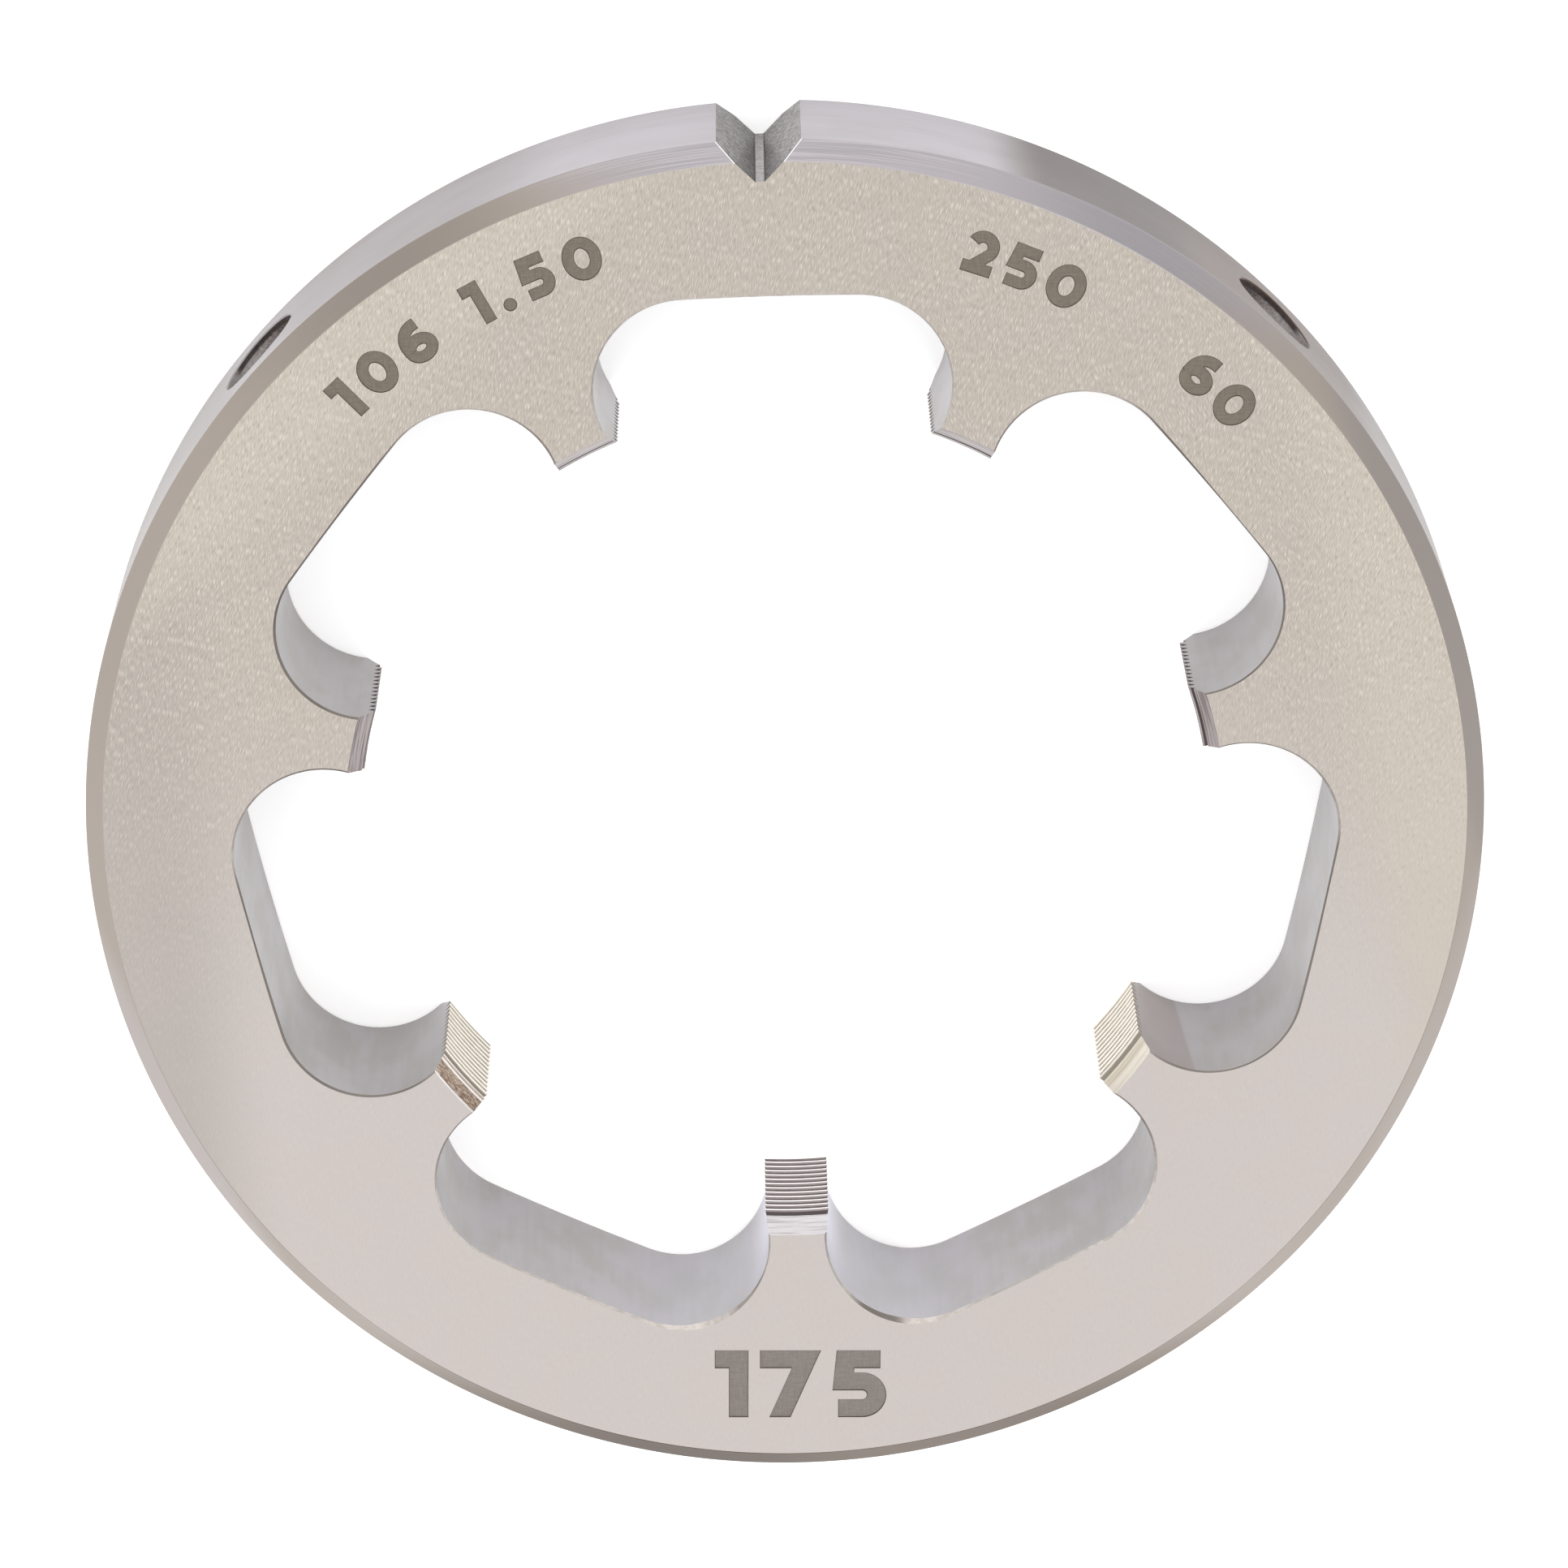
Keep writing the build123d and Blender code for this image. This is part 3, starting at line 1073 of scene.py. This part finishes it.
def cutBore(die):
    sizes = boreSizes
    clearPick()
    bpy.ops.mesh.primitive_cylinder_add(
        vertices=sizes["segments"], radius=tipRadius, depth=thick - 2 * leadLength,
        location=(0, 0, dieLow.z + thick / 2),
    )
    cutter = nameNew("boreCutter")
    mouth = 1 + leadLength * math.tan(sizes["leadAngle"]) / tipRadius
    for side in (-1, 1):
        choose(cutter, "FACE", lambda face: face.normal.z * side > levelFace)
        bpy.ops.mesh.extrude_region_move(TRANSFORM_OT_translate={"value": (0, 0, side * leadLength)})
        bpy.ops.transform.resize(value=(mouth, mouth, 1))
        bpy.ops.mesh.extrude_region_move(TRANSFORM_OT_translate={"value": (0, 0, side * pastSteel)})
        bpy.ops.object.mode_set(mode="OBJECT")
    for finish in ("toothCrest", "leadIn"):
        cutter.data.materials.append(finishes[finish])
    for face in cutter.data.polygons:
        upright = abs(face.normal.z) < uprightFace
        face.material_index = slotOf(cutter, "toothCrest" if upright else "leadIn")
    cut(die, cutter)


# Thread: one right-hand groove, swept as a true helix through all seven lands

threadSizes = {
    "pitch": 1.5 * mm,
    "flankAngle": 30 * degree,
    "start": 41.5 * degree,       # where the groove meets the back face
    "inside": 0.2 * mm,           # how far the groove's open side reaches into the bore
    "stepsPerTurn": 480,
}


def cutThreads(die):
    sizes = threadSizes
    pitch = sizes["pitch"]
    slope = math.tan(sizes["flankAngle"])
    # five eighths of the sharp V's depth, with a flat root an eighth of the pitch wide
    rootRadius = tipRadius + pitch * 5 / 16 / slope
    rootWidth = pitch / 8
    openRadius = tipRadius - sizes["inside"]
    openWidth = rootWidth + 2 * (rootRadius - openRadius) * slope
    middle = (openRadius + rootRadius) / 2
    clearPick()
    bpy.ops.mesh.primitive_plane_add(
        size=1, location=(middle, 0, dieLow.z - pitch), rotation=(math.pi / 2, 0, 0),
    )
    bpy.ops.transform.resize(value=(rootRadius - openRadius, 1, openWidth))
    cutter = nameNew("grooveCutter")
    choose(cutter, "VERT", lambda vert: vert.co.x > middle)
    bpy.ops.transform.resize(value=(1, 1, rootWidth / openWidth))
    bpy.ops.object.mode_set(mode="OBJECT")
    cutter.data.transform(Matrix.Rotation(sizes["start"], 4, "Z"))
    turns = cutter.modifiers.new("turns", "SCREW")
    turns.steps = turns.render_steps = sizes["stepsPerTurn"]
    turns.iterations = math.ceil(thick / pitch) + 2     # one turn past each face
    turns.screw_offset = pitch
    turns.use_smooth_shade = False
    bpy.ops.object.modifier_apply(modifier="turns")
    choose(cutter, "EDGE", lambda edge: edge.is_boundary)
    bpy.ops.mesh.fill_holes(sides=4)
    cleanUp(cutter)
    cutter.data.materials.append(finishes["threadGroove"])
    cut(die, cutter)


# Notch: a V through the rim with a narrow flat root

notchSizes = {
    "angle": 90 * degree,
}


def cutNotchIn(die):
    reach = rimRadius - rootY + pastSteel
    mouth = 2 * halfRoot + 2 * reach * math.tan(notchSizes["angle"] / 2)
    clearPick()
    bpy.ops.mesh.primitive_cube_add(size=1, location=(0, rootY + reach / 2, dieLow.z + thick / 2))
    bpy.ops.transform.resize(value=(mouth, reach, thick + 2 * pastSteel))
    cutter = nameNew("notchCutter")
    choose(cutter, "VERT", lambda vert: vert.co.y < rootY + reach / 2)
    bpy.ops.transform.resize(value=(2 * halfRoot / mouth, 1, 1))
    bpy.ops.object.mode_set(mode="OBJECT")
    cutter.data.materials.append(finishes["cutNotch"])
    cut(die, cutter)


# Dimples: blind holes with drill-point bottoms, half way up the rim

dimpleSizes = {
    "pointAngle": 118 * degree,
    "segments": 96,
    "lipBreak": 0.16 * mm,
}


def cutDimple(die, mount):
    sizes = dimpleSizes
    radius = mount["dims"]["r_mm"] * mm
    depth = mount["dims"]["length_mm"] * mm
    outward = Vector(mount["axis"])
    middle = Vector((0, 0, mount["pos_m"][2]))
    clearPick()
    bpy.ops.mesh.primitive_cylinder_add(vertices=sizes["segments"], radius=radius, depth=depth + pastSteel)
    cutter = nameNew("dimpleCutter")
    choose(cutter, "FACE", lambda face: face.normal.z < -levelFace)
    bpy.ops.mesh.extrude_region_move(
        TRANSFORM_OT_translate={"value": (0, 0, -radius / math.tan(sizes["pointAngle"] / 2))}
    )
    bpy.ops.mesh.merge(type="CENTER")
    bpy.ops.object.mode_set(mode="OBJECT")
    turn = Vector((0, 0, 1)).rotation_difference(outward).to_matrix().to_4x4()
    reach = rimRadius - depth + (depth + pastSteel) / 2
    cutter.data.transform(Matrix.Translation(middle + outward * reach) @ turn)
    cutter.data.materials.append(finishes["drilledDimple"])
    cut(die, cutter)
    dimple = slotOf(die, "drilledDimple")
    mouth = middle + outward * rimRadius
    choose(
        die, "EDGE",
        lambda edge: borders(edge, dimple) and (edge.verts[0].co - mouth).length < 2 * radius,
    )
    breakEdges(die, sizes["lipBreak"], "groundRim")


die = addBlank()
print("blank turned and chamfered")
engraveSigns(die)
print("numbers sunk in the start face")
cutFlutes(die)
print("flutes cut")
cutBore(die)
cutThreads(die)
print("bore and thread cut")
cutNotchIn(die)
for name in ("dimple_left", "dimple_right"):
    cutDimple(die, mounts[name])
clearPick()
die.select_set(True)
bpy.context.view_layer.objects.active = die
cleanUp(die)
print("notch and dimples cut:", len(die.data.vertices), "points")
bpy.ops.object.shade_smooth_by_angle(angle=smoothAngle)
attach(die, "root")
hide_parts("threading_die")


# Floor, light and camera

studioSizes = {
    "floor": 6.0,
    "floorGap": 0.05 * mm,
    "floorColour": (0.94, 0.94, 0.94, 1),
    "floorRoughness": 0.9,
    "floorGlow": 0.3,        # lit a little from below, as a light table is, so that no shadow shows
    "white": (1, 1, 1, 1),
    "skyStrength": 1.0,
}
lightSizes = {
    "softLeft": {"place": (-1.15, 0.10, 0.95), "size": (1.8, 1.8), "power": 10.2},
    "softRight": {"place": (1.15, 0.10, 0.95), "size": (1.8, 1.8), "power": 8.4},
    "softBehind": {"place": (0.0, 1.25, 0.95), "size": (1.8, 1.8), "power": 9.6},
    "softFront": {"place": (0.0, -1.45, 0.65), "size": (1.8, 1.4), "power": 7.8},
}
cameraSizes = {
    "place": (4.35 * mm, 303.06 * mm, 910.91 * mm),
    "turn": (-18.559 * degree, -0.442 * degree, -2.151 * degree),
    "lens": 172.137,
    "film": 36.0,
    "nearest": 0.05,         # nothing closer is seen
}


def addFloor():
    sizes = studioSizes
    clearPick()
    bpy.ops.mesh.primitive_plane_add(size=sizes["floor"], location=(0, 0, dieLow.z - sizes["floorGap"]))
    floor = nameNew("floor")
    paper = bpy.data.materials.new("palePaper")
    paper.use_nodes = True
    white = paper.node_tree.nodes["Principled BSDF"]
    white.inputs["Base Color"].default_value = sizes["floorColour"]
    white.inputs["Roughness"].default_value = sizes["floorRoughness"]
    white.inputs["Emission Color"].default_value = sizes["white"]
    white.inputs["Emission Strength"].default_value = sizes["floorGlow"]
    floor.data.materials.append(paper)


def addLight(name, place, size, power):
    # a soft white panel, turned towards the middle of the die
    light = bpy.data.lights.new(name, "AREA")
    light.shape = "RECTANGLE"
    light.size, light.size_y = size
    light.energy = power
    lamp = bpy.data.objects.new(name, light)
    bpy.context.scene.collection.objects.link(lamp)
    lamp.location = place
    lamp.rotation_euler = (Vector() - Vector(place)).to_track_quat("-Z", "Y").to_euler()


def addSky():
    world = bpy.data.worlds.new("studioSky")
    bpy.context.scene.world = world
    world.use_nodes = True
    sky = world.node_tree.nodes["Background"]
    sky.inputs["Color"].default_value = studioSizes["white"]
    sky.inputs["Strength"].default_value = studioSizes["skyStrength"]


def addCamera():
    view = bpy.data.cameras.new("camera")
    view.lens = cameraSizes["lens"]
    view.sensor_width = cameraSizes["film"]
    view.sensor_fit = "HORIZONTAL"
    view.clip_start = cameraSizes["nearest"]
    camera = bpy.data.objects.new("camera", view)
    bpy.context.scene.collection.objects.link(camera)
    camera.location = cameraSizes["place"]
    camera.rotation_euler = cameraSizes["turn"]
    bpy.context.scene.camera = camera


addFloor()
addSky()
for name, spot in lightSizes.items():
    addLight(name, spot["place"], spot["size"], spot["power"])
addCamera()
bpy.context.scene.view_settings.view_transform = "Standard"
print("floor, light and camera placed")
